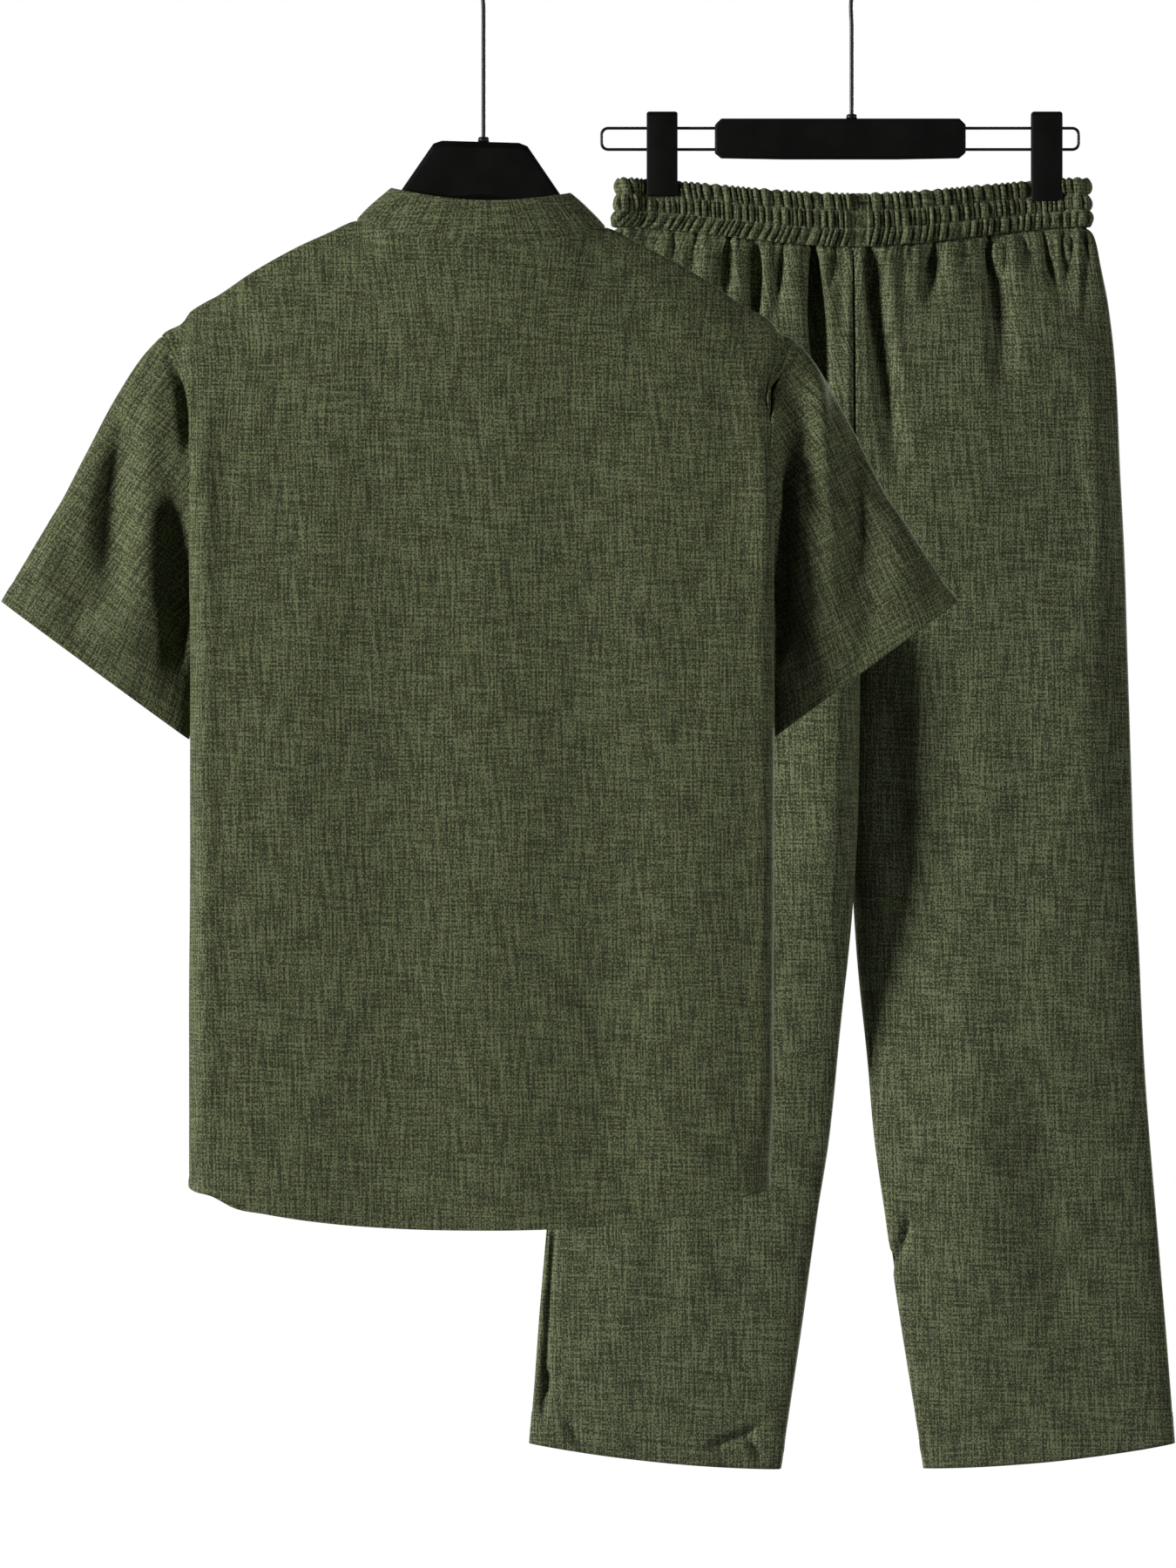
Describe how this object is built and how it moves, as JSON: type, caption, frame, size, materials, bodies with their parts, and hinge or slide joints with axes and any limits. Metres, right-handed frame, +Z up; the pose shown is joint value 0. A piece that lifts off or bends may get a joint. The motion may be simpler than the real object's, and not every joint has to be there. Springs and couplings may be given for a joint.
{
  "type": "co-ord set",
  "caption": "Short-sleeved band-collar shirt and gathered-waist trousers in one linen-look cloth, each hanging from its own black hanger.",
  "frame": {"origin": "inside top of the shirt hook, where it bears on a rail", "axes": "+Z up, -Y towards the viewer of the garments' backs, +X to that viewer's right"},
  "size_m": [0.9246, 0.1865, 1.2197],
  "materials": {
    "shirt_cloth": "matt slubbed plain weave, olive green",
    "trouser_cloth": "matt slubbed plain weave, olive green",
    "button_resin": "satin dark olive resin",
    "hanger_plastic": "matt black",
    "hanger_wire": "satin black"
  },
  "bodies": {
    "root": {"shirt_back": "shirt_cloth", "shirt_front_left": "shirt_cloth", "shirt_front_right": "shirt_cloth", "shirt_collar_band": "shirt_cloth", "shirt_sleeve_left": "shirt_cloth", "shirt_sleeve_right": "shirt_cloth", "shirt_button_1": "button_resin", "shirt_button_2": "button_resin", "shirt_button_3": "button_resin", "shirt_button_4": "button_resin", "shirt_button_5": "button_resin", "shirt_button_6": "button_resin", "shirt_button_7": "button_resin", "shirt_hanger": "hanger_plastic", "shirt_hook": "hanger_wire", "trousers_back_left": "trouser_cloth", "trousers_back_right": "trouser_cloth", "trousers_front_left": "trouser_cloth", "trousers_front_right": "trouser_cloth", "trousers_waistband": "trouser_cloth", "trousers_hook": "hanger_wire", "clip_hanger_bar": "hanger_plastic", "clip_rail_left": "hanger_wire", "clip_rail_right": "hanger_wire", "clip_left": "hanger_plastic", "clip_right": "hanger_plastic"}
  },
  "joints": []
}
